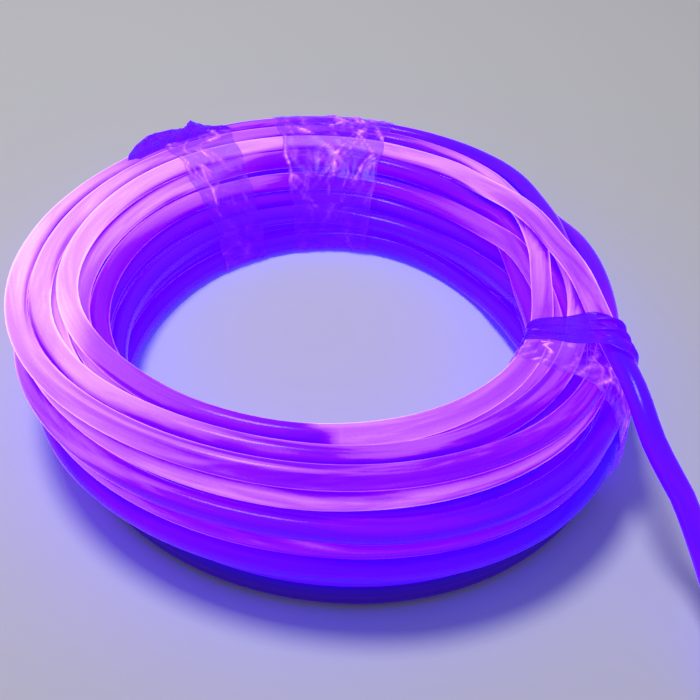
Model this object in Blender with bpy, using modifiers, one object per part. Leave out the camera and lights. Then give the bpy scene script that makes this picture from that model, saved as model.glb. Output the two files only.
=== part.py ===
"""Coil of side glow fibre optic cable, tied with three bands of clear packing tape.

A soft, clear, solid core cable is wound into a loose round coil that lies flat.
Its outer end leaves the top of the coil, comes down to the floor and is cut square.
The model's frame has +Z up, and -Y points at the side where the free end lies.
"""
import bpy
import math
import numpy as np
from mathutils import Vector

# Cable
CABLE_DIAMETER = 0.010

# Section of the wound bundle: rows of turns from the floor up
ROW_TURNS = (2, 2, 3, 3, 3, 3, 3)
ROW_RISE = 0.0086
ROW_TUCK = 0.0050
BORE_RADIUS = 0.1088
BORE_FLARE = 0.0071
BORE_HOLLOW = 0.0092
BELLY_RADIUS = 0.1459
BELLY_FLARE = 0.0118
BELLY_ROUND = 0.0073
REST_FLAT = 0.0009

# How the loose bundle has settled: its lean as a share of the height, its tilt as a share of the
# height at the belly, and how far it is out of round: waves round the coil, their cosine and sine
LEAN_X = -0.095
LEAN_Y = 0.55
TILT_X = 0.107
TILT_Y = 0.235
BELLY_WAVES = ((2, -0.0092, -0.0047), (3, -0.0022, -0.0059))
BORE_WAVES = ((2, -0.0060, -0.0051), (3, -0.0009, -0.0021))
OFF_CENTRE = (-0.0055, 0.0034)
TAPE_SQUEEZE = 0.042
SQUEEZE_REACH = math.radians(32.0)

# How far the top rows lean in over the bore at the right, where the last turns cross the bundle
DRAWN_IN = 0.021
DRAWN_AT = math.radians(-25.0)
DRAWN_REACH = math.radians(72.0)
DRAWN_ROWS = 3
DRAWN_LESS = 0.45

# Fineness of the turned solid
SECTION_POINTS = 56
RING_STEPS = 48
CREVICE_FILL = 0.0030

# Tape bands
TAPE_WIDTH = 0.048
TAPE_BACK_LEFT_WIDTH = 0.036
TAPE_THICKNESS = 0.0004
TAPE_GAP = 0.0007
TAPE_DIRECTIONS = 36
TAPE_POINTS = 84
TAPE_STEPS = 4
TAPE_BACK_LEFT = math.radians(119.5)
TAPE_BACK = math.radians(87.0)
TAPE_RIGHT = math.radians(-27.0)
TAPE_RIGHT_WIDTH = 0.036
CROSSING_ROOM = 0.0032

# Free end, as points of its middle line from the coil's axis, chosen by hand
FREE_ROUTE = (
    (0.0983, 0.0542, 0.0566),
    (0.1060, 0.0308, 0.0586),
    (0.1129, 0.0024, 0.0612),
    (0.1156, -0.0233, 0.0634),
    (0.1172, -0.0474, 0.0657),
    (0.1198, -0.0688, 0.0672),
    (0.1229, -0.0860, 0.0660),
    (0.1264, -0.1058, 0.0585),
    (0.1334, -0.1197, 0.0490),
    (0.1371, -0.1256, 0.0440),
    (0.1421, -0.1394, 0.0335),
    (0.1462, -0.1540, 0.0238),
    (0.1500, -0.1700, 0.0155),
    (0.1534, -0.1860, 0.0095),
    (0.1560, -0.2020, 0.0063),
    (0.1580, -0.2180, 0.0054),
    (0.1592, -0.2320, 0.0053),
)
FREE_POINTS = 26


def row_heights():
    """Heights of the rows' middle lines, the lowest one resting on the floor."""
    foot = CABLE_DIAMETER / 2 - REST_FLAT
    return [foot + row * ROW_RISE for row in range(len(ROW_TURNS))]


def row_limits(height):
    """Bundle's inner and outer radius at a height: a bore that flares upwards and a rounded belly."""
    heights = row_heights()
    half = (heights[-1] - heights[0]) / 2
    level = (height - heights[0]) / half - 1
    inner = BORE_RADIUS + BORE_FLARE * level + BORE_HOLLOW * level ** 2
    outer = BELLY_RADIUS + BELLY_FLARE * level - BELLY_ROUND * level ** 2
    return inner, outer


def turn_places():
    """Radius and height of each turn's middle in the section: every other row is tucked in."""
    places = []
    for row, (count, height) in enumerate(zip(ROW_TURNS, row_heights())):
        inner, outer = row_limits(height)
        tuck = ROW_TUCK * (row % 2)
        places += [(radius, height) for radius in np.linspace(inner + tuck, outer - tuck, count)]
    return np.array(places)


def section_middle():
    """Middle of the section, about which the tape squeezes the bundle."""
    places = turn_places()
    return (places.min(axis=0) + places.max(axis=0)) / 2


def reach(places, middle, directions, radius):
    """Distance from the middle to the far side of the circles, along each direction."""
    offset = places - middle
    along = directions @ offset.T
    inside = radius ** 2 - (np.sum(offset ** 2, axis=1)[None, :] - along ** 2)
    far = np.where(inside >= 0, along + np.sqrt(np.maximum(inside, 0)), 0)
    return far.max(axis=1)


def hull_distance(places, normals):
    """Distance from the axis' foot to the line that touches the turns, for each way the line faces."""
    return np.max(normals @ places.T, axis=1) + CABLE_DIAMETER / 2


def bundle_outline():
    """Section outline, clockwise: round turns with shallow crevices between them and a flat underside."""
    places = turn_places()
    middle = section_middle()
    angles = np.linspace(math.pi / 2, -1.5 * math.pi, SECTION_POINTS, endpoint=False)
    directions = np.stack([np.cos(angles), np.sin(angles)], axis=1)
    round_turns = reach(places, middle, directions, CABLE_DIAMETER / 2)
    filled = reach(places, middle, directions, CABLE_DIAMETER / 2 + CREVICE_FILL) - CREVICE_FILL
    facing = directions @ directions.T
    beyond = hull_distance(places - middle, directions) / np.where(facing > 0.01, facing, 0.01)
    filled = np.minimum(filled, beyond.min(axis=1))
    outline = middle + directions * np.maximum(round_turns, filled)[:, None]
    outline[:, 1] = np.maximum(outline[:, 1], 0)
    return outline


def tape_outline(extra_turns):
    """Section outline of a stretched band, in even steps: the lines that touch the turns."""
    places = np.vstack([turn_places()] + extra_turns)
    angles = np.linspace(0, 2 * math.pi, TAPE_DIRECTIONS, endpoint=False)
    across, up = np.cos(angles), np.sin(angles)
    distance = hull_distance(places, np.column_stack([across, up])) + TAPE_GAP
    turned = math.sin(2 * math.pi / TAPE_DIRECTIONS)
    radius = (distance * np.roll(up, -1) - np.roll(distance, -1) * up) / turned
    height = (np.roll(distance, -1) * across - distance * np.roll(across, -1)) / turned
    ring = np.column_stack([radius, np.maximum(height, -TAPE_GAP)])
    ring = np.vstack([ring, ring[:1]])
    length = np.concatenate([[0], np.cumsum(np.linalg.norm(np.diff(ring, axis=0), axis=1))])
    even = np.linspace(0, length[-1], TAPE_POINTS, endpoint=False)
    return np.column_stack([np.interp(even, length, ring[:, 0]), np.interp(even, length, ring[:, 1])])


def squeeze(angle):
    """How far the tape draws the bundle together at an angle round the coil, from 0 to 1."""
    total = np.zeros_like(angle)
    for middle in (TAPE_BACK_LEFT, TAPE_BACK, TAPE_RIGHT):
        away = np.abs((angle - middle + math.pi) % (2 * math.pi) - math.pi)
        bump = 0.5 + 0.5 * np.cos(math.pi * np.minimum(away / SQUEEZE_REACH, 1))
        total = np.maximum(total, bump)
    return total


def waves(angle, series):
    """Sum of waves round the coil, each a number of crests with its cosine and sine."""
    return sum(cosine * np.cos(crests * angle) + sine * np.sin(crests * angle)
               for crests, cosine, sine in series)


def outward_share(radius):
    """How far out in the section a radius lies, from 0 at the bore to 1 at the belly."""
    return np.clip((radius - BORE_RADIUS) / (BELLY_RADIUS - BORE_RADIUS), 0, 1)


def drawn_in(radius, height, angle):
    """How far the top rows lean in over the bore at the right, the more the higher and the further in."""
    heights = row_heights()
    bottom = heights[-1 - DRAWN_ROWS]
    share = np.clip((height - bottom) / (heights[-1] - bottom), 0, 1)
    away = np.abs((angle - DRAWN_AT + math.pi) % (2 * math.pi) - math.pi)
    bump = 0.5 + 0.5 * np.cos(math.pi * np.minimum(away / DRAWN_REACH, 1))
    return DRAWN_IN * bump * share * (1 - DRAWN_LESS * outward_share(radius))


def settle(points):
    """Turned shape to settled shape: squeezed at the tapes, out of round, leaning and tilted."""
    radius = np.hypot(points[:, 0], points[:, 1])
    angle = np.arctan2(points[:, 1], points[:, 0])
    middle_radius, middle_height = section_middle()
    shrink = 1 - TAPE_SQUEEZE * squeeze(angle)
    radius = middle_radius + (radius - middle_radius) * shrink
    height = middle_height + (points[:, 2] - middle_height) * shrink
    outwards = outward_share(radius)
    inside = drawn_in(radius, height, angle)
    radius = (radius - inside + waves(angle, BORE_WAVES) * (1 - outwards)
              + waves(angle, BELLY_WAVES) * outwards)
    lift = height - middle_height
    x = OFF_CENTRE[0] + radius * np.cos(angle) + LEAN_X * lift
    y = OFF_CENTRE[1] + radius * np.sin(angle) + LEAN_Y * lift
    tilt = 1 - (TILT_X * x + TILT_Y * y) / BELLY_RADIUS
    return np.stack([x, y, height * tilt], axis=1)


def material(name, colour, roughness, transmission=0.0, glow=0.0):
    """Principled material with an optional even glow."""
    surface = bpy.data.materials.new(name)
    surface.use_nodes = True
    shader = surface.node_tree.nodes["Principled BSDF"]
    shader.inputs["Base Color"].default_value = (*colour, 1)
    shader.inputs["Metallic"].default_value = 0
    shader.inputs["Roughness"].default_value = roughness
    shader.inputs["Transmission Weight"].default_value = transmission
    shader.inputs["Emission Color"].default_value = (*colour, 1)
    shader.inputs["Emission Strength"].default_value = glow
    return surface


def new_object(name, mesh, surface, collection):
    """Object in the model's collection, smooth but for its sharp edges."""
    mesh.name = name
    mesh.materials.clear()
    mesh.materials.append(surface)
    mesh.shade_smooth()
    mesh.set_sharp_from_angle(angle=math.radians(40))
    piece = bpy.data.objects.new(name, mesh)
    collection.objects.link(piece)
    return piece


def evaluated_mesh(piece):
    """Copy of an object's mesh with its modifiers or bevel applied."""
    bpy.context.view_layer.update()
    depsgraph = bpy.context.evaluated_depsgraph_get()
    return bpy.data.meshes.new_from_object(piece.evaluated_get(depsgraph))


def settled_coordinates(mesh):
    """Moves a mesh from the turned shape to the settled one."""
    flat = np.empty(len(mesh.vertices) * 3)
    mesh.vertices.foreach_get("co", flat)
    mesh.vertices.foreach_set("co", settle(flat.reshape(-1, 3)).ravel())
    mesh.update()


def add_coil(surface, collection):
    """The wound bundle: its section turned round the axis, then settled."""
    outline = bundle_outline()
    count = len(outline)
    profile = bpy.data.meshes.new("bundle_profile")
    edges = [(i, (i + 1) % count) for i in range(count)]
    profile.from_pydata([(radius, 0, height) for radius, height in outline], edges, [])
    turned = bpy.data.objects.new("bundle_profile", profile)
    bpy.context.scene.collection.objects.link(turned)
    screw = turned.modifiers.new("Turn", "SCREW")
    screw.axis = "Z"
    screw.angle = 2 * math.pi
    screw.steps = RING_STEPS
    screw.render_steps = RING_STEPS
    screw.use_merge_vertices = True
    screw.merge_threshold = 0.00001
    mesh = evaluated_mesh(turned)
    bpy.data.objects.remove(turned, do_unlink=True)
    settled_coordinates(mesh)
    return new_object("coil", mesh, surface, collection)


def free_line():
    """Points of the free end's middle line, evenly spaced on a smooth curve through its route."""
    route = np.array(FREE_ROUTE)
    padded = np.vstack([2 * route[0] - route[1], route, 2 * route[-1] - route[-2]])
    steps = np.linspace(0, 1, 12, endpoint=False)[:, None]
    fine = []
    for i in range(1, len(route)):
        a, b, c, d = padded[i - 1:i + 3]
        fine.append(0.5 * (2 * b + (c - a) * steps + (2 * a - 5 * b + 4 * c - d) * steps ** 2
                           + (3 * b - a - 3 * c + d) * steps ** 3))
    fine = np.vstack(fine + [route[-1:]])
    length = np.concatenate([[0], np.cumsum(np.linalg.norm(np.diff(fine, axis=0), axis=1))])
    even = np.linspace(0, length[-1], FREE_POINTS)
    return np.stack([np.interp(even, length, fine[:, axis]) for axis in range(3)], axis=1)


def add_free_end(surface, collection):
    """The cable's outer end, from its crossing over the top row to its square cut."""
    line = free_line()
    curve = bpy.data.curves.new("free_end", "CURVE")
    curve.dimensions = "3D"
    curve.bevel_depth = CABLE_DIAMETER / 2
    curve.bevel_resolution = 3
    curve.use_fill_caps = True
    spline = curve.splines.new("POLY")
    spline.points.add(len(line) - 1)
    spline.points.foreach_set("co", np.column_stack([line, np.ones(len(line))]).ravel())
    piece = bpy.data.objects.new("free_end", curve)
    curve.materials.append(surface)
    collection.objects.link(piece)
    return piece


def crossing_turn(angle):
    """Places in the turned section round the free end, where it crosses the top row at an angle."""
    line = free_line()
    middle = section_middle()
    lift = row_heights()[-1] - middle[1]
    around = np.arctan2(line[:, 1] - OFF_CENTRE[1] - LEAN_Y * lift,
                        line[:, 0] - OFF_CENTRE[0] - LEAN_X * lift)
    point = np.array([np.interp(-angle, -around, line[:, axis]) for axis in range(3)])
    height = point[2] / (1 - (TILT_X * point[0] + TILT_Y * point[1]) / BELLY_RADIUS)
    lift = height - middle[1]
    radius = math.hypot(point[0] - OFF_CENTRE[0] - LEAN_X * lift, point[1] - OFF_CENTRE[1] - LEAN_Y * lift)
    radius -= (waves(angle, BORE_WAVES) + waves(angle, BELLY_WAVES)) / 2
    radius += drawn_in(radius + DRAWN_IN / 2, height, angle)
    shrink = 1 - TAPE_SQUEEZE * squeeze(np.array([angle]))
    spread = np.array([(-CROSSING_ROOM, 0), (0, CROSSING_ROOM), (CROSSING_ROOM, 0)])
    return middle + (np.array([[radius, height]]) - middle) / shrink + spread


def add_tape(name, middle, width, crossed, surface, collection):
    """A band of tape round the bundle: a strip on the turns' hull, with the film's thickness outside it."""
    half_angle = width / 2 / section_middle()[0]
    angles = np.linspace(middle - half_angle, middle + half_angle, TAPE_STEPS + 1)
    rings = []
    for angle in angles:
        outline = tape_outline([crossing_turn(angle)] if crossed else [])
        rings.append(np.column_stack([outline[:, 0] * math.cos(angle), outline[:, 0] * math.sin(angle),
                                      outline[:, 1]]))
    grid = np.arange(len(angles) * TAPE_POINTS).reshape(len(angles), TAPE_POINTS)
    onward = np.roll(grid, -1, axis=1)
    faces = np.stack([grid[:-1], grid[1:], onward[1:], onward[:-1]], axis=2).reshape(-1, 4)
    strip = bpy.data.meshes.new(name)
    strip.from_pydata(np.vstack(rings).tolist(), [], faces.tolist())
    band = bpy.data.objects.new(name, strip)
    bpy.context.scene.collection.objects.link(band)
    film = band.modifiers.new("Film", "SOLIDIFY")
    film.thickness = TAPE_THICKNESS
    film.offset = 1
    mesh = evaluated_mesh(band)
    bpy.data.objects.remove(band, do_unlink=True)
    settled_coordinates(mesh)
    return new_object(name, mesh, surface, collection)


def stand_on_origin(pieces):
    """Moves the whole model so that the origin is at the bottom centre of its box."""
    bpy.context.view_layer.update()
    depsgraph = bpy.context.evaluated_depsgraph_get()
    corners = []
    for piece in pieces:
        shown = piece.evaluated_get(depsgraph)
        mesh = shown.to_mesh()
        corners += [piece.matrix_world @ vertex.co for vertex in mesh.vertices]
        shown.to_mesh_clear()
    low = [min(corner[axis] for corner in corners) for axis in range(3)]
    high = [max(corner[axis] for corner in corners) for axis in range(3)]
    shift = Vector((-(low[0] + high[0]) / 2, -(low[1] + high[1]) / 2, -low[2]))
    for piece in pieces:
        piece.location = shift
    bpy.context.view_layer.update()


def main():
    for old in list(bpy.data.objects):
        bpy.data.objects.remove(old, do_unlink=True)
    model = bpy.data.collections.new("side_glow_cable_coil")
    bpy.context.scene.collection.children.link(model)

    cable = material("glowing_clear_cable", (0.22, 0.02, 1.0), 0.15, glow=1.0)
    tape = material("clear_packing_tape", (0.60, 0.45, 1.0), 0.20, transmission=0.6)

    pieces = [
        add_coil(cable, model),
        add_free_end(cable, model),
        add_tape("tape_back_left", TAPE_BACK_LEFT, TAPE_BACK_LEFT_WIDTH, False, tape, model),
        add_tape("tape_back", TAPE_BACK, TAPE_WIDTH, False, tape, model),
        add_tape("tape_right", TAPE_RIGHT, TAPE_RIGHT_WIDTH, True, tape, model),
    ]
    stand_on_origin(pieces)


main()
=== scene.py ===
"""Looks of a coil of side glow fibre optic cable, lit violet and tied with clear packing tape.

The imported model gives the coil's solid, the free end and three bands of tape. This script winds the
real cable turn by turn into the coil's space, stretches wrinkled clear film round it, and lights it on
a pale floor. Everything is in metres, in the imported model's frame: +Z up, the free end towards -Y.
"""
import math
import bpy
import numpy as np
from bpy.props import FloatProperty, IntProperty, PointerProperty, StringProperty
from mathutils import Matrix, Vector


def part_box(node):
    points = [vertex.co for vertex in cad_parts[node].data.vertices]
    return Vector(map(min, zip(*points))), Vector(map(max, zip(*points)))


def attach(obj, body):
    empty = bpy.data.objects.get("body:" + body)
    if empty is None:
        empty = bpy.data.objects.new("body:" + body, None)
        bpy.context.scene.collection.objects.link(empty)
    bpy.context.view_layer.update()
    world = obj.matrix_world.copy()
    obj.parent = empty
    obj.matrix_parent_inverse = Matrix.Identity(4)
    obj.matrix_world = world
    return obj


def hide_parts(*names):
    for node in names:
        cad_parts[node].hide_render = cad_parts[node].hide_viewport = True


bl_info = {
    "name": "Side Glow Cable Coil",
    "version": (1, 0, 0),
    "blender": (4, 5, 0),
    "location": "3D View > Sidebar > Glow Cable",
    "description": "Winds a glowing fibre optic cable into a taped coil and lights it",
    "category": "Add Mesh",
}

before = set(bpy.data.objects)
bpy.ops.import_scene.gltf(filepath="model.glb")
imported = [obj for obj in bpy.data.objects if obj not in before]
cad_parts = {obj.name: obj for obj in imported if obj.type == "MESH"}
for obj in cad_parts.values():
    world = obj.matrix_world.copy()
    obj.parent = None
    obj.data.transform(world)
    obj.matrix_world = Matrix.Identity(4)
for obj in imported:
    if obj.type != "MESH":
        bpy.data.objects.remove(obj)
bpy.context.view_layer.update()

# Cable
CABLE_DIAMETER = 0.010
CABLE_RADIUS = CABLE_DIAMETER / 2
LINE_STEP = CABLE_DIAMETER * 0.8

# Section of the wound bundle: rows of turns from the floor up
ROW_TURNS = (2, 2, 3, 3, 3, 3, 3)
ROW_RISE = 0.0086
ROW_TUCK = 0.0050
BORE_RADIUS = 0.1088
BORE_FLARE = 0.0071
BORE_HOLLOW = 0.0092
BELLY_RADIUS = 0.1459
BELLY_FLARE = 0.0118
BELLY_ROUND = 0.0073
REST_FLAT = 0.0009

# How the loose bundle has settled: its lean, its tilt, and the waves that put it out of round
LEAN_X = -0.095
LEAN_Y = 0.55
TILT_X = 0.107
TILT_Y = 0.235
BELLY_WAVES = ((2, -0.0092, -0.0047), (3, -0.0022, -0.0059))
BORE_WAVES = ((2, -0.0060, -0.0051), (3, -0.0009, -0.0021))
OFF_CENTRE = (-0.0055, 0.0034)
TAPE_SQUEEZE = 0.042
SQUEEZE_REACH = math.radians(32.0)
DRAWN_IN = 0.021
DRAWN_AT = math.radians(-25.0)
DRAWN_REACH = math.radians(72.0)
DRAWN_ROWS = 3
DRAWN_LESS = 0.45
TAPE_BACK_LEFT = math.radians(119.5)
TAPE_BACK = math.radians(87.0)
TAPE_RIGHT = math.radians(-27.0)

# Winding: clockwise from above, each turn moving to its next place at the right
STATIONS = 96
WINDING_START = math.radians(-20.0)
CHANGE_FROM = math.radians(62.0)
CHANGE_TO = math.radians(-10.0)
LEAVE_AT = math.radians(44.0)
START_FLARE = 0.006
START_REACH = 0.10
PLAY_SLOW = 0.0007
PLAY_QUICK = 0.0005
FINE_STATIONS = 360
CURVE_STEPS = 12

# Settling: rounds, the gap up to which two turns draw together and by how much, how strongly a turn is
# smoothed along its length, and how strongly it goes back to its place
SETTLE_ROUNDS = 90
DRAW_GAP = 0.28 * CABLE_DIAMETER
DRAW_SHARE = 0.08
SMOOTH_SHARE = 0.2
HOME_SHARE = 0.03

# Painted seam shade: how far along the cable a point's own turn reaches, and where a neighbour counts as away
OWN_REACH = 4 * CABLE_DIAMETER
SEAM_SHADE_REACH = CABLE_RADIUS * 1.8
POINTS_AT_ONCE = 4000

# Glow: how far the emission's blue runs over what a picture can show, so that it colours the floor
GLOW = 1.6

# Glow's levels on the skin, from 0, unlit, to 1, nearly white
LEVEL_LOW = 0.36
LEVEL_TOP_MORE = 0.06
LEVEL_LEFT_MORE = 0.10
LEVEL_TOP_LEFT_MORE = 0.44
LEVEL_OUTER_LESS = 0.30
LEVEL_WALL = 0.34
LEVEL_WALL_TOP_MORE = 0.26
LEVEL_CROSSING_MORE = 0.26
LEVEL_BY_TAPE_MORE = 0.10
LEVEL_LAST = 0.66
LEVEL_LAST_LEFT_MORE = 0.26
LEVEL_SHADE_LESS = 0.31
LEVEL_FREE = 0.33
LEVEL_START = 0.085
LEVEL_MOST = 1.1

# Where each level sets in: heights above the floor, and distances from the coil's middle
TOP_ROWS = (0.022, 0.058)
WALL_ROWS = (0.024, 0.050)
CROSSING_ROWS = (0.055, 0.061)
BELOW_TOP_ROW = (-0.064, -0.052)
OUTER_SIDE = (0.125, 0.150)
BORE_SIDE = (-0.124, -0.110)
CROSSING_SIDE = (0.118, 0.128)

# Bearings in degrees towards which the light changes
LEFT_SIDE = 176
OUTER_RIGHT = 30
CROSSING_AT = 12
BY_TAPE_AT = -48
FRONT_AT = -95
FED_SIDE = 160
SHADE_AT = -119
SHADE_SET = 0.113
SHADE_SLANT = 12

# Stretches of the cable, in metres from its inner end or from where the wound part ends
START_FADE = (0.42, 0.62)
LAST_TURN_FROM = (-0.80, -0.70)
FREE_FADE = (0.225, 0.245)
BAND_FADE = 0.03

# Bright stretches in front: from and to along the cable, level, what is added to one side, and that side
FRONT_BANDS = ((11.55, 12.75, 0.54, 0.20, -160), (6.75, 7.60, 0.42, 0.18, -150))

# Colours as they are seen, by level
SKIN_STOPS = ((0.0, "#0c0228"), (0.09, "#1e0662"), (0.16, "#3a06cc"), (0.24, "#4600ff"),
              (0.40, "#6400ff"), (0.50, "#7c00ff"), (0.56, "#8f0dff"), (0.62, "#ae45ff"),
              (0.72, "#c864ff"), (0.82, "#e68eff"), (0.92, "#f8a9ff"), (1.0, "#ffd2ff"))
# Colour of the painted highlight along the cable's edges
RIM_HIGHLIGHT_COLOUR = "#ffd4ff"
SKIN_BASE = "#3a12a0"
# Painted glow of the clear tape: emission colours by crease for the cable's light caught in the film, and
# base colours tinted violet by that light
FILM_PAINTED_GLOW = ((0.25, "#5200f0"), (0.50, "#7408ff"), (0.66, "#a03cff"), (0.85, "#dc74ff"), (1.0, "#ffa8f8"))
FILM_GLOW_TINTED_BASE = "#3a18b8"
DOUBLED_PAINTED_GLOW = ((0.25, "#4c00f4"), (0.50, "#6000ff"), (0.70, "#7400ff"), (0.88, "#5600e8"), (1.0, "#9636ff"))
DOUBLED_GLOW_TINTED_BASE = "#340c70"

# Tape as seen: where the films lie, their thickness, how far they stand off the turns and the floor,
# how finely they are made, their creases and their loose end
FILM_BACK = math.radians(89.5)
FILM_RIGHT = math.radians(-29.0)
FILM_DOUBLED = math.radians(-25.5)
FILM_THICKNESS = 0.0001
FILM_GAP = 0.0004
DOUBLED_GAP = 0.0015
FLOOR_GAP = 0.0003
FILM_STEPS = 36
FILM_POINTS = 300
FILM_ROUNDS = 5
BUNDLE_RADIUS = 0.135
HULL_NEAR = math.radians(3.0)
HULL_SIDES = 240
FILM_WALL = (0.022, 0.044)
CREASE_WIDTH = (0.0012, 0.0030)
CREASE_LENGTH = (0.008, 0.030)
TAIL_RADIUS = 0.16
TAIL_FROM = math.radians(111)
TAIL_TO = math.radians(134)
TAIL_LENGTH = 0.017
TAIL_ROUNDS = 30
LEAVES_TAPE = 0.070

# Free end: how many of the wound part's points it takes over, how many of its own stay as they are
# where it is raised, how often the raised part is smoothed, and its route, as points of its middle line
# from the coil's axis
JOIN_POINTS = 9
FREE_HELD = 6
FREE_ROUNDS = 6
FREE_ROUTE = (
    (0.0983, 0.0542, 0.0566),
    (0.1060, 0.0308, 0.0586),
    (0.1129, 0.0024, 0.0612),
    (0.1156, -0.0233, 0.0634),
    (0.1172, -0.0474, 0.0657),
    (0.1198, -0.0688, 0.0672),
    (0.1229, -0.0860, 0.0660),
    (0.1264, -0.1058, 0.0585),
    (0.1334, -0.1197, 0.0490),
    (0.1371, -0.1256, 0.0440),
    (0.1421, -0.1394, 0.0335),
    (0.1462, -0.1540, 0.0238),
    (0.1500, -0.1700, 0.0155),
    (0.1534, -0.1860, 0.0095),
    (0.1560, -0.2020, 0.0063),
    (0.1580, -0.2180, 0.0054),
    (0.1592, -0.2320, 0.0053),
)

# Camera, from the coil's axis, as the photograph was taken: half the picture's width is a third of
# the focal length
CAMERA_PLACE = (0.0057, -0.3983, 0.3592)
CAMERA_PITCH = math.radians(41.0)
CAMERA_VIEW = 2 * math.atan(1 / 3)

# Stage
FLOOR_SIZE = 6.0
LAMP_SIZE = 0.5
LAMP_DISTANCE = 1.8
LAMP_TOWARD = (-0.21, 0.20, 0.96)


def coil_axis():
    """Where the coil's axis stands: the free end's box against its last point and its radius there."""
    low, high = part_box("free_end")
    end, before = np.array(FREE_ROUTE[-1]), np.array(FREE_ROUTE[-2])
    heading = (end - before) / np.linalg.norm(end - before)
    return np.array([high.x - end[0] - CABLE_RADIUS * abs(heading[1]),
                     low.y - end[1] + CABLE_RADIUS * abs(heading[0]), 0.0])


def linear(text):
    """Linear colour, with alpha 1, of an sRGB hex value."""
    parts = [int(text.lstrip("#")[i:i + 2], 16) / 255 for i in (0, 2, 4)]
    return [p / 12.92 if p <= 0.04045 else ((p + 0.055) / 1.055) ** 2.4 for p in parts] + [1.0]


def smooth_step(value, low, high):
    """Zero below low, one above high, and 3t^2 - 2t^3 between them."""
    t = np.clip((value - low) / (high - low), 0, 1)
    return t * t * (3 - 2 * t)


def half_turn(angle):
    """Angle brought to between minus and plus half a turn."""
    return (angle + math.pi) % (2 * math.pi) - math.pi


def bump(away, reach):
    """Raised cosine: one in the middle and zero from the reach on."""
    return 0.5 + 0.5 * np.cos(math.pi * np.minimum(np.abs(away) / reach, 1))


def distance_along(points):
    """Distance of each point from the first, along the line through them."""
    return np.concatenate([[0], np.cumsum(np.linalg.norm(np.diff(points, axis=0), axis=1))])


def points_round(centre, radius, angle, height):
    """Points at a distance, a bearing and a height round a centre."""
    return np.stack([centre[0] + radius * np.cos(angle), centre[1] + radius * np.sin(angle), height], axis=-1)


def grid_faces(grid, closed):
    """Four-sided faces between the rows of a grid of point numbers, joined round if it is closed."""
    here, onward = (grid, np.roll(grid, -1, axis=1)) if closed else (grid[:, :-1], grid[:, 1:])
    return np.stack([here[:-1], here[1:], onward[1:], onward[:-1]], axis=2).reshape(-1, 4).tolist()


def row_heights():
    """Heights of the rows' middle lines, as in the solid."""
    foot = CABLE_RADIUS - REST_FLAT
    return [foot + row * ROW_RISE for row in range(len(ROW_TURNS))]


def row_limits(height):
    """Bundle's inner and outer radius at a height: a bore that flares upwards and a rounded belly."""
    heights = row_heights()
    half = (heights[-1] - heights[0]) / 2
    level = (height - heights[0]) / half - 1
    inner = BORE_RADIUS + BORE_FLARE * level + BORE_HOLLOW * level ** 2
    outer = BELLY_RADIUS + BELLY_FLARE * level - BELLY_ROUND * level ** 2
    return inner, outer


def turn_places():
    """Radius and height of each turn, in winding order: up the rows, out and in by turns."""
    places = []
    for row, (count, height) in enumerate(zip(ROW_TURNS, row_heights())):
        inner, outer = row_limits(height)
        tuck = ROW_TUCK * (row % 2)
        radii = np.linspace(inner + tuck, outer - tuck, count)
        places += [(radius, height) for radius in (radii[::-1] if row % 2 == 0 else radii)]
    return np.array(places)


def section_middle():
    """Middle of the section, about which the tape squeezes the bundle."""
    places = turn_places()
    return (places.min(axis=0) + places.max(axis=0)) / 2


def squeeze(angle):
    """How far the tape draws the bundle together: a raised cosine round each band, from 0 to 1."""
    total = np.zeros_like(angle)
    for middle in (TAPE_BACK_LEFT, TAPE_BACK, TAPE_RIGHT):
        total = np.maximum(total, bump(half_turn(angle - middle), SQUEEZE_REACH))
    return total


def waves(angle, series):
    """Sum of waves round the coil, each a number of crests with its cosine and sine."""
    return sum(cosine * np.cos(crests * angle) + sine * np.sin(crests * angle)
               for crests, cosine, sine in series)


def outward_share(radius):
    """How far out in the section a radius lies, from 0 at the bore to 1 at the belly."""
    return np.clip((radius - BORE_RADIUS) / (BELLY_RADIUS - BORE_RADIUS), 0, 1)


def drawn_in(radius, height, angle):
    """How far the top rows lean in over the bore at the right, the more the higher and the further in."""
    heights = row_heights()
    bottom = heights[-1 - DRAWN_ROWS]
    share = np.clip((height - bottom) / (heights[-1] - bottom), 0, 1)
    here = bump(half_turn(angle - DRAWN_AT), DRAWN_REACH)
    return DRAWN_IN * here * share * (1 - DRAWN_LESS * outward_share(radius))


def settle(radius, height, angle):
    """Turned shape to settled shape: squeezed at the tapes, out of round, leaning and tilted."""
    middle_radius, middle_height = section_middle()
    shrink = 1 - TAPE_SQUEEZE * squeeze(angle)
    radius = middle_radius + (radius - middle_radius) * shrink
    height = middle_height + (height - middle_height) * shrink
    outwards = outward_share(radius)
    inside = drawn_in(radius, height, angle)
    radius = radius - inside
    radius = radius + waves(angle, BORE_WAVES) * (1 - outwards) + waves(angle, BELLY_WAVES) * outwards
    lift = height - middle_height
    x = OFF_CENTRE[0] + radius * np.cos(angle) + LEAN_X * lift
    y = OFF_CENTRE[1] + radius * np.sin(angle) + LEAN_Y * lift
    tilt = 1 - (TILT_X * x + TILT_Y * y) / BELLY_RADIUS
    return np.stack([x, y, height * tilt], axis=-1)


def smooth_line(points, spacing):
    """Evenly spaced points on the Catmull-Rom curve through some points."""
    points = np.asarray(points, float)
    padded = np.vstack([2 * points[0] - points[1], points, 2 * points[-1] - points[-2]])
    t = np.linspace(0, 1, CURVE_STEPS, endpoint=False)[None, :, None]
    a, b, c, d = (padded[i:len(points) - 1 + i, None] for i in range(4))
    fine = 0.5 * (2 * b + (c - a) * t + (2 * a - 5 * b + 4 * c - d) * t ** 2
                  + (3 * b - a - 3 * c + d) * t ** 3)
    return even_line(np.vstack([fine.reshape(-1, 3), points[-1:]]), spacing)


def even_line(points, spacing):
    """The same line with its points evenly spaced."""
    along = distance_along(points)
    even = np.linspace(0, along[-1], max(2, round(along[-1] / spacing) + 1))
    return np.stack([np.interp(even, along, points[:, axis]) for axis in range(3)], axis=1)


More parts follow.
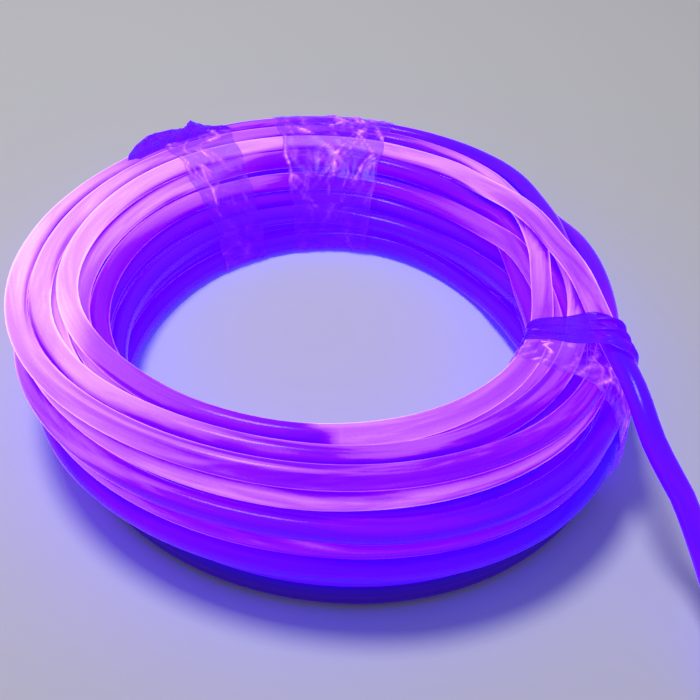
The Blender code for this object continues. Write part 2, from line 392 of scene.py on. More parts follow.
def wind_turns():
    """Polar winding: radius and height of every turn at each of the even stations round the coil.

    A turn keeps its place for most of the way round and moves to the next turn's place over the
    changing zone by a smooth step, with slow sine waves for the play of a loose coil. The cable's
    first 0.1 m flares outwards.
    """
    places = turn_places()
    count = len(places)
    fine = np.arange(count * FINE_STATIONS + 1) / FINE_STATIONS
    angle = WINDING_START - 2 * math.pi * fine
    turn = np.minimum(fine.astype(int), count - 1)
    onward = np.minimum(turn + 1, count - 1)
    done = np.degrees(2 * math.pi * (fine - turn))
    start = math.degrees(WINDING_START - CHANGE_FROM) % 360
    share = smooth_step(done, start, start + math.degrees(CHANGE_FROM - CHANGE_TO))[:, None]
    held = places[turn] * (1 - share) + places[onward] * share
    play = PLAY_SLOW * np.sin(angle + 2.4 * fine) + PLAY_QUICK * np.sin(angle * 2.0 + 4.1 * fine)
    flare = START_FLARE * np.maximum(1 - fine * 2 * math.pi * BELLY_RADIUS / START_REACH, 0) ** 2
    line = settle(held[:, 0] + play + flare, held[:, 1] + 0.5 * play, angle)
    around = np.unwrap(np.arctan2(line[:, 1] - OFF_CENTRE[1], line[:, 0] - OFF_CENTRE[0]))
    radius = np.hypot(line[:, 0] - OFF_CENTRE[0], line[:, 1] - OFF_CENTRE[1])
    stations = around[0] - 2 * math.pi * np.arange(count * STATIONS) / STATIONS
    radius = np.interp(-stations, -around, radius).reshape(count, STATIONS)
    height = np.interp(-stations, -around, line[:, 2]).reshape(count, STATIONS)
    return radius, height, stations.reshape(count, STATIONS)


def press_apart(radius, height, leaves):
    """Settles the turns so that they touch and don't cut into each other.

    At each station the turns are circles in one section. Each round moves every two circles that
    overlap apart by half of the overlap, draws near neighbours together a little, smooths each turn
    along its length and holds it above the floor. The last turn counts only while it stays in the coil.
    """
    home = np.stack([radius, height], axis=-1)
    home[..., 1] = np.maximum(home[..., 1], CABLE_RADIUS)
    place = home.copy()
    here = np.ones(radius.shape, bool)
    here[-1, leaves:] = False
    both = here[:, None] & here[None, :]
    both &= ~np.eye(len(radius), dtype=bool)[:, :, None]
    for _ in range(SETTLE_ROUNDS):
        apart = place[:, None] - place[None, :]
        distance = np.maximum(np.linalg.norm(apart, axis=-1), 1e-6)
        overlap = CABLE_DIAMETER - distance
        push = np.where(overlap > 0, overlap, DRAW_SHARE * overlap)
        overlap = np.where(both & (overlap > -DRAW_GAP), push, 0)
        place += 0.5 * (apart * (overlap / distance)[..., None]).sum(axis=1)
        flat = place.reshape(-1, 2)
        flat[1:-1] += SMOOTH_SHARE * (flat[:-2] + flat[2:] - 2 * flat[1:-1])
        place = flat.reshape(place.shape)
        place += HOME_SHARE * (home - place)
        place[..., 1] = np.maximum(place[..., 1], CABLE_RADIUS)
    return place[..., 0], place[..., 1]


def cable_line():
    """Middle line of the whole cable, from its inner end low at the right, and the wound part's length.

    The free end is a smooth line through three of the wound part's last points and its own route. It
    is raised where it has to be, to lie on the turns that it crosses.
    """
    radius, height, stations = wind_turns()
    leaves = int(round(((stations[-1, 0] - LEAVE_AT) % (2 * math.pi)) / (2 * math.pi) * STATIONS))
    radius, height = press_apart(radius, height, leaves)
    coil = points_round(OFF_CENTRE, radius, stations, height).reshape(-1, 3)
    wound = coil[:len(coil) - STATIONS + leaves]
    free = smooth_line(np.vstack([wound[-JOIN_POINTS::3], FREE_ROUTE]), LINE_STEP)
    others = coil[:len(coil) - STATIONS]
    across = np.linalg.norm(free[:, None, :2] - others[None, :, :2], axis=-1)
    rest = others[None, :, 2] + np.sqrt(np.maximum(CABLE_DIAMETER ** 2 - across ** 2, 0))
    needed = np.where(across < CABLE_DIAMETER, rest, 0).max(axis=1)
    free[:, 2] = np.maximum(free[:, 2], np.where(np.arange(len(free)) > FREE_HELD, needed, 0))
    for _ in range(FREE_ROUNDS):
        free[1:-1, 2] += 0.25 * (free[:-2, 2] + free[2:, 2] - 2 * free[1:-1, 2])
    wound = wound[:-JOIN_POINTS]
    line = even_line(np.vstack([wound, free]), LINE_STEP)
    return line + coil_axis(), distance_along(wound)[-1]


def tube(line, radius, sides, bevel):
    """Round tube along a line, with square ends that have a small bevel.

    Ring i is line[i] + r (sin a * side - cos a * up), where side is level, towards the outside of the
    coil, and up is square to the line. So the angle a means the same all along: 0 underneath, a
    quarter turn at the outer side and half a turn on top. The map's u is the distance along the
    cable and v the distance round it from underneath, both in metres.
    """
    ahead = np.gradient(line, axis=0)
    ahead /= np.linalg.norm(ahead, axis=1)[:, None]
    rings = np.vstack([line[:1], line, line[-1:]])
    rings[1] += ahead[0] * bevel
    rings[-2] -= ahead[-1] * bevel
    ahead = np.vstack([ahead[:1], ahead, ahead[-1:]])
    size = np.full(len(rings), radius)
    size[[0, -1]] -= bevel
    side = np.cross(np.array([0, 0, 1.0]), ahead)
    side /= np.linalg.norm(side, axis=1)[:, None]
    up = np.cross(ahead, side)
    turn = 2 * math.pi * np.arange(sides) / sides
    body = rings[:, None] + size[:, None, None] * (
        np.sin(turn)[None, :, None] * side[:, None] - np.cos(turn)[None, :, None] * up[:, None])
    grid = np.arange(len(rings) * sides).reshape(len(rings), sides)
    faces = grid_faces(grid, True) + [grid[0].tolist(), grid[-1, ::-1].tolist()]
    u = np.broadcast_to(distance_along(rings)[:, None], grid.shape)
    v = np.broadcast_to(radius * turn[None], grid.shape)
    past = np.broadcast_to(radius * (turn + turn[1])[None], grid.shape)
    quad_map = np.stack([np.stack([u[:-1], v[:-1]], axis=2), np.stack([u[1:], v[1:]], axis=2),
                         np.stack([u[1:], past[1:]], axis=2), np.stack([u[:-1], past[:-1]], axis=2)], axis=2)
    cap_map = [np.stack([u[0], v[0]], axis=1), np.stack([u[-1], v[-1]], axis=1)[::-1]]
    return body.reshape(-1, 3), faces, np.vstack([quad_map.reshape(-1, 2)] + cap_map)


def mesh_object(name, points, faces, corner_map=None):
    """Smooth object at the origin from arrays of points and faces, with its map if one is given."""
    mesh = bpy.data.meshes.new(name)
    mesh.from_pydata(points.tolist(), [], faces)
    if corner_map is not None:
        mesh.uv_layers.new(name="UVMap").data.foreach_set("uv", corner_map.astype(np.float32).ravel())
    mesh.shade_smooth()
    piece = bpy.data.objects.new(name, mesh)
    bpy.context.scene.collection.objects.link(piece)
    return piece


def point_value(piece, name, values):
    """One number for each point of a mesh, which its material reads by name."""
    attribute = piece.data.attributes.new(name, "FLOAT", "POINT")
    attribute.data.foreach_set("value", np.asarray(values, np.float32))


def seam_shade_depth(points, station, line, spacing):
    """How deep each surface point lies between neighbouring turns, which sets the painted shade in the seams:
    1 where they touch, 0 in the open.

    That is a smooth step of its distance from the nearest middle line that isn't its own stretch's.
    """
    deep = np.empty(len(points))
    index = np.arange(len(line))
    for start in range(0, len(points), POINTS_AT_ONCE):
        part = slice(start, start + POINTS_AT_ONCE)
        gap = np.linalg.norm(points[part, None] - line[None], axis=2)
        gap[np.abs(station[part, None] - index[None]) * spacing < OWN_REACH] = 1
        deep[part] = gap.min(axis=1)
    return 1 - smooth_step(deep, CABLE_RADIUS, SEAM_SHADE_REACH)


def glow_level(points, along, wound_length):
    """How brightly each surface point shows, from 0, unlit, to 1, nearly white.

    The light is strongest in the upper turns and towards the left, where the cable is fed, and weakest
    low down and at the outer right. Two stretches in front are bright, and so is the last turn, with a
    darker part. The free end is dim, and the first stretch, at the far end of the light's way, has
    almost none. Also gives how much each point lies on the inner wall, and on the last turn with the
    free end at less, both from 0 to 1.
    """
    place = points - coil_axis() - np.array([*OFF_CENTRE, 0])
    bearing = np.arctan2(place[:, 1], place[:, 0])
    radius = np.hypot(place[:, 0], place[:, 1])
    level = place[:, 2] / (1 - (TILT_X * place[:, 0] + TILT_Y * place[:, 1]) / BELLY_RADIUS)

    def toward(degrees):
        return 0.5 + 0.5 * np.cos(bearing - math.radians(degrees))

    def past(fade, start=0.0):
        return smooth_step(along, start + fade[0], start + fade[1])

    top = smooth_step(level, *TOP_ROWS)
    outward = smooth_step(radius, *OUTER_SIDE)
    inner = smooth_step(-radius, *BORE_SIDE) * smooth_step(-level, *BELOW_TOP_ROW)
    glow = LEVEL_LOW + LEVEL_TOP_MORE * top
    glow += (LEVEL_LEFT_MORE + LEVEL_TOP_LEFT_MORE * top) * toward(LEFT_SIDE) ** 2
    glow -= LEVEL_OUTER_LESS * outward * toward(OUTER_RIGHT) * (1 - 0.6 * top)
    glow += (LEVEL_WALL + LEVEL_WALL_TOP_MORE * smooth_step(level, *WALL_ROWS) - glow) * inner
    crossing = smooth_step(toward(CROSSING_AT), 0.80, 0.94) * smooth_step(level, *CROSSING_ROWS)
    glow += LEVEL_CROSSING_MORE * crossing * (1 - smooth_step(radius, *CROSSING_SIDE))
    glow += LEVEL_BY_TAPE_MORE * top * smooth_step(toward(BY_TAPE_AT), 0.86, 0.97)
    front = smooth_step(toward(FRONT_AT), 0.55, 0.85)
    for begin, end, least, more, side in FRONT_BANDS:
        band = past((-BAND_FADE, BAND_FADE), begin) * (1 - past((-BAND_FADE, BAND_FADE), end))
        glow += (least + more * toward(side) - glow) * band * front
    last = past(LAST_TURN_FROM, wound_length)
    glow += (LEVEL_LAST + LEVEL_LAST_LEFT_MORE * toward(FED_SIDE) ** 0.8 - glow) * last
    turned = half_turn(bearing - math.radians(SHADE_AT) - SHADE_SLANT * (radius - SHADE_SET))
    shade = smooth_step(turned, math.radians(-48), math.radians(-26))
    shade *= 1 - smooth_step(turned, math.radians(25), math.radians(29))
    glow -= LEVEL_SHADE_LESS * last * shade
    free = past(FREE_FADE, wound_length)
    glow = glow * (1 - free) + LEVEL_FREE * free
    start = 1 - past(START_FADE)
    glow = np.clip(glow * (1 - start) + LEVEL_START * start, 0, LEVEL_MOST)
    # The last value is where the painted edge highlight shows all along the last turn
    return glow, inner, last * (1 - 0.6 * free)


def add_node(tree, kind, links=(), **settings):
    """Adds a shader node: settings are its properties or input values, links its inputs' sources."""
    node = tree.nodes.new(kind)
    for key, value in settings.items():
        if key in node.inputs:
            node.inputs[key].default_value = value
        else:
            setattr(node, key, value)
    for socket, source in dict(links).items():
        tree.links.new(source, node.inputs[socket])
    return node


def ranged(tree, source, low, high, bottom=0.0, top=1.0, smooth=True):
    """Output that goes from bottom to top as the source goes from low to high."""
    node = add_node(tree, "ShaderNodeMapRange", {"Value": source},
                    interpolation_type="SMOOTHSTEP" if smooth else "LINEAR")
    for socket, value in zip(("From Min", "From Max", "To Min", "To Max"), (low, high, bottom, top)):
        node.inputs[socket].default_value = value
    return node.outputs["Result"]


def glow_colour(text):
    """Emission that shows as an sRGB hex colour at the glow's strength, its full blue left to run over."""
    red, green, blue, alpha = linear(text)
    return [red / GLOW, green / GLOW, blue if blue > 0.9 else blue / GLOW, alpha]


def set_stops(ramp, stops):
    """Sets a colour ramp's stops from pairs of place and colour as it is seen."""
    elements = ramp.elements
    while len(elements) < len(stops):
        elements.new(1.0)
    for element, (place, colour) in zip(elements, stops):
        element.position = place
        element.color = glow_colour(colour)


def lit_light_guide():
    """Cast soft acrylic light guide, lit from inside.

    The skin is smooth and glossy with a few faint draw lines. The eye sees blue-violet where little
    light comes out, lavender to nearly white pink where much does, a painted highlight at the edges
    where it looks along the skin, and painted shade in the seams where turns touch. The patches are
    about 110 mm long and 10 mm wide, as the light leaves the core unevenly.
    """
    surface = bpy.data.materials.new("cast_acrylic_light_guide")
    surface.use_nodes = True
    tree = surface.node_tree
    tree.nodes.clear()

    def math_node(operation, first, second, clamp=False):
        node = add_node(tree, "ShaderNodeMath", operation=operation, use_clamp=clamp)
        for socket, value in zip(node.inputs, (first, second)):
            if isinstance(value, (int, float)):
                socket.default_value = value
            else:
                tree.links.new(value, socket)
        return node.outputs["Value"]

    def point_values(name):
        return add_node(tree, "ShaderNodeAttribute", attribute_name=name).outputs["Fac"]

    def stretched_noise(length, width, detail, distortion):
        scaled = add_node(tree, "ShaderNodeMapping", {"Vector": mapped.outputs["UV"]},
                          Scale=(1 / length, 1 / width, 1))
        noise = add_node(tree, "ShaderNodeTexNoise", {"Vector": scaled.outputs["Vector"]}, Scale=1.0,
                         Detail=detail, Roughness=0.55, Distortion=distortion)
        return math_node("SUBTRACT", noise.outputs["Fac"], 0.5)

    mapped = add_node(tree, "ShaderNodeUVMap", uv_map="UVMap")
    glow, seam_shade, calm, rim_highlight_share = (point_values(name) for name in ("glow", "seam_shade", "smooth", "last_turn_rim_highlight"))
    patches = ranged(tree, stretched_noise(0.110, 0.010, 3.0, 0.9), -0.13, 0.13, -0.5, 0.5)
    drift = stretched_noise(0.450, 0.060, 1.0, 0.0)
    streaks = stretched_noise(0.035, 0.0011, 2.0, 0.2)
    grain = stretched_noise(0.0016, 0.0012, 1.0, 0.0)
    facing = add_node(tree, "ShaderNodeLayerWeight", Blend=0.5).outputs["Facing"]
    # Painted highlights: brighter where the skin is seen at a grazing angle, and a thin pink line at the very
    # edge
    rim = ranged(tree, facing, 0.62, 0.96)
    thin_rim_highlight = ranged(tree, facing, 0.86, 0.985)

    # Patches and drift show most at middle levels, and least on the inner wall
    middle = math_node("MULTIPLY", math_node("MULTIPLY", glow, math_node("SUBTRACT", 1.15, glow)), 2.6, True)
    middle = math_node("MULTIPLY", middle, math_node("SUBTRACT", 1.0, math_node("MULTIPLY", calm, 0.7)))
    value = glow
    # Painted light in the level: the seams between touching turns get painted shade, and the skin seen at a
    # grazing angle gets a painted highlight
    for part, share, where in ((patches, 0.19, middle), (drift, 0.30, middle), (streaks, 0.11, glow),
                               (grain, 0.05, glow), (seam_shade, -0.46, glow), (rim, 0.30, glow)):
        value = math_node("ADD", value, math_node("MULTIPLY", math_node("MULTIPLY", part, share), where))
    # The level, painted seam shade included, stays at least at the smaller of the glow and 0.20
    value = math_node("MAXIMUM", value, math_node("MINIMUM", glow, 0.20))
    ramp = add_node(tree, "ShaderNodeValToRGB", {"Fac": value})
    set_stops(ramp.color_ramp, SKIN_STOPS)

    # A thin painted pink highlight along the edge shows where the skin is bright, and all along the last turn
    lit = math_node("MULTIPLY", math_node("MULTIPLY", glow, glow), 1.3, True)
    lit = math_node("MAXIMUM", lit, math_node("MULTIPLY", rim_highlight_share, 0.75))
    pink = add_node(tree, "ShaderNodeMix", {"Factor": math_node("MULTIPLY", thin_rim_highlight, lit),
                                            "A": ramp.outputs["Color"]},
                    data_type="RGBA", B=glow_colour(RIM_HIGHLIGHT_COLOUR))
    draw_lines = add_node(tree, "ShaderNodeBump", {"Height": streaks}, Strength=0.15, Distance=0.0001)
    shader = add_node(tree, "ShaderNodeBsdfPrincipled", {"Emission Color": pink.outputs["Result"],
                                                         "Normal": draw_lines.outputs["Normal"]},
                      Roughness=0.17, IOR=1.46)
    shader.inputs["Specular IOR Level"].default_value = 0.13
    shader.inputs["Base Color"].default_value = linear(SKIN_BASE)
    shader.inputs["Emission Strength"].default_value = GLOW
    add_node(tree, "ShaderNodeOutputMaterial", {"Surface": shader.outputs["BSDF"]})
    surface.cycles.emission_sampling = "FRONT"
    return surface


def clear_tape(name, opacity, stops, base):
    """Clear polypropylene packing tape: blown film with a glossy back and fine sharp creases.

    The eye sees the turns through it, tinted blue-violet, with brighter lines along the creases where
    the film stands off and catches the glow. That glow is painted: the film's emission, brighter along
    the creases, and its violet base colour stand in for the cable's light caught in the film. Where it is
    folded double it is less clear and darker.
    """
    surface = bpy.data.materials.new(name)
    surface.use_nodes = True
    tree = surface.node_tree
    shader = tree.nodes["Principled BSDF"]
    crease = add_node(tree, "ShaderNodeAttribute", attribute_name="crease").outputs["Fac"]
    place = add_node(tree, "ShaderNodeTexCoord")
    cloud = add_node(tree, "ShaderNodeTexNoise", {"Vector": place.outputs["Object"]}, Scale=90.0, Detail=4.0,
                     Roughness=0.6, Distortion=0.8).outputs["Fac"]
    # Painted glow caught from the cable, brighter along the creases
    caught_glow = add_node(tree, "ShaderNodeMath", {0: crease, 1: cloud, 2: cloud},
                        operation="MULTIPLY_ADD").outputs["Value"]
    ramp = add_node(tree, "ShaderNodeValToRGB", {"Fac": caught_glow})
    set_stops(ramp.color_ramp, stops)
    tree.links.new(ramp.outputs["Color"], shader.inputs["Emission Color"])
    alpha = ranged(tree, caught_glow, 0.35, 1.0, opacity, min(opacity + 0.45, 1), False)
    tree.links.new(alpha, shader.inputs["Alpha"])
    ripple = add_node(tree, "ShaderNodeBump", {"Height": cloud}, Strength=0.35, Distance=0.0004)
    tree.links.new(ripple.outputs["Normal"], shader.inputs["Normal"])
    shader.inputs["Base Color"].default_value = linear(base)
    shader.inputs["Roughness"].default_value = 0.26
    shader.inputs["Specular IOR Level"].default_value = 0.15
    shader.inputs["IOR"].default_value = 1.49
    shader.inputs["Emission Strength"].default_value = GLOW
    return surface


def creases(along, across, count, reach, lean, seed):
    """Height of crumpled film between 0 and 1: the highest of straight ridges at odd places.

    Each ridge is (1 - |d| / w) to the power 1.5 within w of its line, where d is the distance from the
    line, and it dies away from its middle towards both ends.
    """
    pick = np.random.default_rng(seed)
    height = np.zeros(np.broadcast(along, across).shape)
    for _ in range(count):
        middle_along, middle_across = pick.uniform(0, reach[0]), pick.uniform(-0.5, 0.5) * reach[1]
        direction = lean + pick.normal(0, 0.45)
        width, length, tall = pick.uniform(*CREASE_WIDTH), pick.uniform(*CREASE_LENGTH), pick.uniform(0.3, 1)
        x, y = along - middle_along, across - middle_across
        off = np.abs(x * math.cos(direction) + y * math.sin(direction)) / width
        on = np.abs(y * math.cos(direction) - x * math.sin(direction)) / length
        height = np.maximum(height, tall * np.clip(1 - off, 0, 1) ** 1.5 * np.clip(1 - on ** 2, 0, 1))
    return height


def coil_middle():
    """Middle of the turns as seen from above, a little off the coil's axis."""
    return coil_axis()[:2] + np.array(OFF_CENTRE)


def polar(line):
    """Bearing and distance of points round the coil's middle, as seen from above."""
    flat = line[:, :2] - coil_middle()
    return np.arctan2(flat[:, 1], flat[:, 0]), np.hypot(flat[:, 0], flat[:, 1])


def hull_ring(line, angle, gap, count):
    """Radius and height, in even steps, of a film stretched round the turns at one bearing.

    The turns near that bearing are circles in one section. The film follows their hull: where the
    support lines h(f) = max(p . n(f)) + r of neighbouring directions f cross.
    """
    bearing, reach = polar(line)
    off = half_turn(bearing - angle)
    near = np.abs(off) < HULL_NEAR
    facing = np.linspace(0, 2 * math.pi, HULL_SIDES, endpoint=False)
    turn = facing[1]
    support = np.max(np.cos(facing)[:, None] * reach[None, near] * np.cos(off[None, near])
                     + np.sin(facing)[:, None] * line[None, near, 2], axis=1) + CABLE_RADIUS + gap
    onward = np.roll(support, -1)
    out = (support * np.sin(facing + turn) - onward * np.sin(facing)) / math.sin(turn)
    rise = (onward * np.cos(facing) - support * np.cos(facing + turn)) / math.sin(turn)
    ring = np.column_stack([out, np.maximum(rise, FLOOR_GAP)])
    ring = np.vstack([ring, ring[:1]])
    along = distance_along(ring)
    even = np.linspace(0, along[-1], count, endpoint=False)
    return np.column_stack([np.interp(even, along, ring[:, i]) for i in range(2)])


def film_finish(piece, crease_height):
    """Gives a piece of film its creases' heights, which its material reads, and its thickness."""
    point_value(piece, "crease", crease_height.ravel())
    film = piece.modifiers.new("Film", "SOLIDIFY")
    film.thickness = FILM_THICKNESS
    film.offset = 1


def evened(rows, rounds):
    """Rows of numbers smoothed along the first axis, with the first and last row held."""
    for _ in range(rounds):
        rows[1:-1] = (rows[:-2] + 2 * rows[1:-1] + rows[2:]) / 4
    return rows


def film_band(name, line, middle, width, crease, skew=0.0, gap=FILM_GAP, clear_of=None):
    """Band of film round the bundle: a closed strip of rings, stretched on the turns and creased.

    crease gives the creases' height, number, lean and seed. They lift the film off along its normal,
    and show little on the inner wall. The strip runs askew by skew and its edges waver. Where clear_of
    is given, the film also keeps outside the tube along those points.
    """
    tall, count, lean, seed = crease
    angles = middle + (np.arange(FILM_STEPS + 1) / FILM_STEPS - 0.5) * width / BUNDLE_RADIUS
    rings = evened(np.array([hull_ring(line, angle, gap, FILM_POINTS) for angle in angles]), FILM_ROUNDS)
    girth = np.linalg.norm(np.diff(rings[0], axis=0), axis=1).sum()
    along = np.linspace(0, girth, FILM_POINTS, endpoint=False)[None]
    across = (np.linspace(-0.5, 0.5, FILM_STEPS + 1) * width)[:, None]
    height = creases(along, across, count, (girth, width), lean, seed)
    tangent = np.roll(rings, -1, axis=1) - np.roll(rings, 1, axis=1)
    normal = np.stack([tangent[..., 1], -tangent[..., 0]], axis=2)
    normal /= np.maximum(np.linalg.norm(normal, axis=2), 1e-9)[..., None]
    rings = rings + normal * (tall * height)[..., None]
    rings[..., 1] = np.maximum(rings[..., 1], FLOOR_GAP)
    phase = 2 * math.pi * np.arange(FILM_POINTS)[None] / FILM_POINTS
    waver = 0.006 * np.sin(9 * phase + 2 * across / width)
    bearing = middle + across / BUNDLE_RADIUS + skew * np.cos(phase) + waver
    points = points_round(coil_middle(), rings[..., 0], bearing, rings[..., 1]).reshape(-1, 3)
    if clear_of is not None:
        apart = points[:, None] - clear_of[None]
        distance = np.linalg.norm(apart, axis=2)
        nearest = distance.argmin(axis=1)
        pick = np.arange(len(points))
        away = apart[pick, nearest] / distance[pick, nearest][:, None]
        points += away * np.maximum(CABLE_RADIUS + gap - distance[pick, nearest], 0)[:, None]
    grid = np.arange(len(points)).reshape(FILM_STEPS + 1, FILM_POINTS)
    band = mesh_object(name, points, grid_faces(grid, True))
    # Below the heights in FILM_WALL the creases' value is lowered, so the film's painted glow is dimmer and
    # the film clearer there
    upper = smooth_step(rings[..., 1], *FILM_WALL)
    film_finish(band, height * (0.25 + 0.75 * upper) - 0.22 * (1 - upper))
    return band


def loose_tail(name, line, start, end, length, seed):
    """Crumpled end of tape that stands off the outside of the bundle.

    The strip's point at (s, t) lies at about bearing start + s (end - start), and stands off by
    length * t * sqrt(sin(pi s)), a little ragged at its edge. Sharp creases and slow waves crumple it.
    """
    columns, rows, outer_point = 60, 26, 24
    s = np.linspace(0, 1, columns)[:, None]
    t = np.linspace(0, 1, rows)[None]
    angle = start + (end - start) * (s + 0.10 * t * np.sin(7 * s + 1))
    bearings = (start + (end - start) * s).ravel()
    base = np.array([hull_ring(line, bearing, 0.0002, FILM_POINTS)[outer_point] for bearing in bearings])
    base = evened(base, TAIL_ROUNDS)
    ragged = 0.86 + 0.09 * np.sin(9 * s) + 0.03 * np.sin(31 * s + 2)
    out = length * np.sqrt(np.sin(math.pi * np.clip(s, 0.02, 0.98))) * ragged
    span = (end - start) * TAIL_RADIUS
    height = creases(span * s, (t - 0.5) * length, 24, (span, length), 0.5, seed)
    radius = base[:, :1] - 0.0006 + out * t + 0.0006 * np.sin(23 * s + 5 * t) * t
    rise = base[:, 1:] + 0.35 * out * t - 0.20 * out * t ** 2
    rise = rise + (0.0010 * height + 0.0011 * np.sin(15 * s + 3 * t)) * t
    points = points_round(coil_middle(), radius, angle, rise)
    grid = np.arange(columns * rows).reshape(columns, rows)
    tail = mesh_object(name, points.reshape(-1, 3), grid_faces(grid.T, False))
    film_finish(tail, height)
    return tail


class CableSettings(bpy.types.PropertyGroup):
    """Sizes of the cable."""
    diameter: FloatProperty(name="Diameter", description="Thickness of the light guide",
                            default=CABLE_DIAMETER, min=0.002, max=0.02, unit="LENGTH")
    sides: IntProperty(name="Sides", description="Faces round the light guide", default=24, min=8, max=64)
    bevel: FloatProperty(name="Cut bevel", description="Worn edge of the square cut ends", default=0.0004,
                         unit="LENGTH")


class StageSettings(bpy.types.PropertyGroup):
    """Floor and light."""
    floor: StringProperty(name="Floor colour", description="sRGB hex colour of the floor",
                          default="#d8d8dc")
    light: FloatProperty(name="Light", description="Power of the soft light overhead", default=16.0,
                         unit="POWER")
    ambient: FloatProperty(name="Ambient", description="Strength of the even light from all sides",
                           default=0.22)


class GLOWCABLE_OT_stage(bpy.types.Operator):
    """Adds the pale floor, the soft studio light and the camera."""
    bl_idname = "glowcable.stage"
    bl_label = "Stage"

    def execute(self, context):
        settings = context.scene.glow_stage
        bpy.ops.mesh.primitive_plane_add(size=FLOOR_SIZE, location=(0, 0, 0))
        floor = context.object
        floor.name = "floor"
        paper = bpy.data.materials.new("matte_pale_paper")
        paper.use_nodes = True
        shader = paper.node_tree.nodes["Principled BSDF"]
        shader.inputs["Base Color"].default_value = linear(settings.floor)
        shader.inputs["Roughness"].default_value = 0.9
        floor.data.materials.append(paper)

        camera = bpy.data.objects.new("camera", bpy.data.cameras.new("camera"))
        camera.data.sensor_width = 36.0
        camera.data.angle = CAMERA_VIEW
        camera.data.clip_start = 0.01
        camera.location = coil_axis() + np.array(CAMERA_PLACE)
        camera.rotation_euler = (math.pi / 2 - CAMERA_PITCH, 0, 0)
        context.scene.collection.objects.link(camera)
        context.scene.camera = camera

        lamp = bpy.data.objects.new("soft_light", bpy.data.lights.new("soft_light", "AREA"))
        lamp.data.shape = "DISK"
        lamp.data.size = LAMP_SIZE
        lamp.data.energy = settings.light
        lamp.location = LAMP_DISTANCE * np.array(LAMP_TOWARD)
        lamp.rotation_euler = (-math.asin(LAMP_TOWARD[1]), math.atan2(LAMP_TOWARD[0], LAMP_TOWARD[2]), 0)
        context.scene.collection.objects.link(lamp)

        world = bpy.data.worlds.new("studio")
        world.use_nodes = True
        background = world.node_tree.nodes["Background"]
        background.inputs["Color"].default_value = linear("#eceaf4")
        background.inputs["Strength"].default_value = settings.ambient
        context.scene.world = world
        context.scene.view_settings.view_transform = "Standard"
        context.scene.view_settings.look = "None"
        return {"FINISHED"}


class GLOWCABLE_OT_cable(bpy.types.Operator):
    """Winds the cable turn by turn and lays out its free end."""
    bl_idname = "glowcable.cable"
    bl_label = "Cable"

    def execute(self, context):
        settings = context.scene.glow_cable
        line, wound_length = cable_line()
        spacing = np.linalg.norm(line[1] - line[0])
        points, faces, corner_map = tube(line, settings.diameter / 2, settings.sides, settings.bevel)
        piece = mesh_object("cable", points, faces, corner_map)
        station = np.repeat(np.concatenate([[0], np.arange(len(line)), [len(line) - 1]]), settings.sides)
        glow, inner, last = glow_level(points, station * spacing, wound_length)
        # Painted shade in the seams between touching turns, weaker on the inner wall
        point_value(piece, "seam_shade", seam_shade_depth(points, station, line, spacing) * (1 - 0.75 * inner))
        point_value(piece, "glow", glow)
        point_value(piece, "smooth", inner)
        # Where the painted edge highlight shows all along the last turn
        point_value(piece, "last_turn_rim_highlight", last)
        piece.data.materials.append(lit_light_guide())
        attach(piece, "root")
        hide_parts("coil", "free_end")
        return {"FINISHED"}


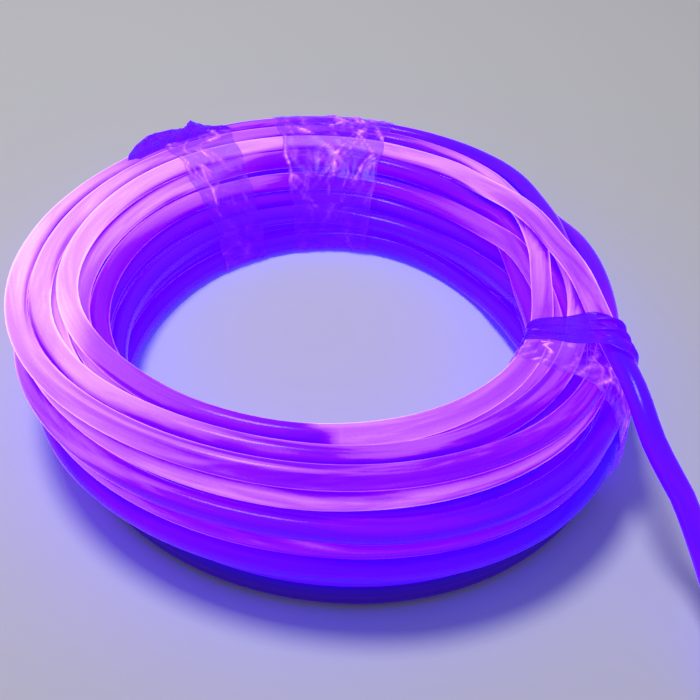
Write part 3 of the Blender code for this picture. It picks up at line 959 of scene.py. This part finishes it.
class GLOWCABLE_OT_tapes(bpy.types.Operator):
    """Stretches the bands of clear film round the bundle."""
    bl_idname = "glowcable.tapes"
    bl_label = "Tape"

    def execute(self, context):
        line, wound_length = cable_line()
        wound = int(wound_length / np.linalg.norm(line[1] - line[0]))
        free = line[wound:]
        leaving = free[free[:, 1] < coil_axis()[1] - LEAVES_TAPE]
        bundle = line[:len(line) - len(leaving)]
        plain = clear_tape("clear_polypropylene_tape", 0.22, FILM_PAINTED_GLOW, FILM_GLOW_TINTED_BASE)
        double = clear_tape("doubled_polypropylene_tape", 0.80, DOUBLED_PAINTED_GLOW, DOUBLED_GLOW_TINTED_BASE)
        bands = (
            ("tape_film_back_left", "tape_back_left", plain, bundle,
             dict(middle=TAPE_BACK_LEFT, width=0.036, crease=(0.0011, 60, 1.2, 3))),
            ("tape_film_back", "tape_back", plain, bundle,
             dict(middle=FILM_BACK, width=0.056, crease=(0.0014, 110, 1.4, 8))),
            ("tape_film_right", "tape_right", plain, line[:wound],
             dict(middle=FILM_RIGHT, width=0.036, crease=(0.0010, 70, 0.2, 5), skew=math.radians(1.5),
                  clear_of=free)),
            ("tape_film_right_double", "tape_right", double, bundle,
             dict(middle=FILM_DOUBLED, width=0.021, crease=(0.0002, 4, 0.2, 6), gap=DOUBLED_GAP)),
        )
        for name, node, film, around, form in bands:
            band = film_band(name, around, **form)
            band.data.materials.append(film)
            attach(band, "root")
            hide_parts(node)
        tail = loose_tail("tape_tail_back_left", bundle, TAIL_FROM, TAIL_TO, TAIL_LENGTH, 4)
        tail.data.materials.append(double)
        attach(tail, "root")
        return {"FINISHED"}


class GLOWCABLE_PT_panel(bpy.types.Panel):
    """Shows the cable's and the stage's settings, and the buttons that build the coil."""
    bl_label = "Glow Cable"
    bl_idname = "GLOWCABLE_PT_panel"
    bl_space_type = "VIEW_3D"
    bl_region_type = "UI"
    bl_category = "Glow Cable"

    def draw(self, context):
        for name in ("diameter", "sides", "bevel"):
            self.layout.prop(context.scene.glow_cable, name)
        for name in ("floor", "light", "ambient"):
            self.layout.prop(context.scene.glow_stage, name)
        for operator in (GLOWCABLE_OT_stage, GLOWCABLE_OT_cable, GLOWCABLE_OT_tapes):
            self.layout.operator(operator.bl_idname)


CLASSES = (CableSettings, StageSettings, GLOWCABLE_OT_stage, GLOWCABLE_OT_cable, GLOWCABLE_OT_tapes,
           GLOWCABLE_PT_panel)


def register():
    for item in CLASSES:
        bpy.utils.register_class(item)
    bpy.types.Scene.glow_cable = PointerProperty(type=CableSettings)
    bpy.types.Scene.glow_stage = PointerProperty(type=StageSettings)


def unregister():
    del bpy.types.Scene.glow_stage
    del bpy.types.Scene.glow_cable
    for item in reversed(CLASSES):
        bpy.utils.unregister_class(item)


def main():
    register()
    bpy.ops.glowcable.stage()
    bpy.ops.glowcable.cable()
    bpy.ops.glowcable.tapes()


if __name__ == "__main__":
    main()
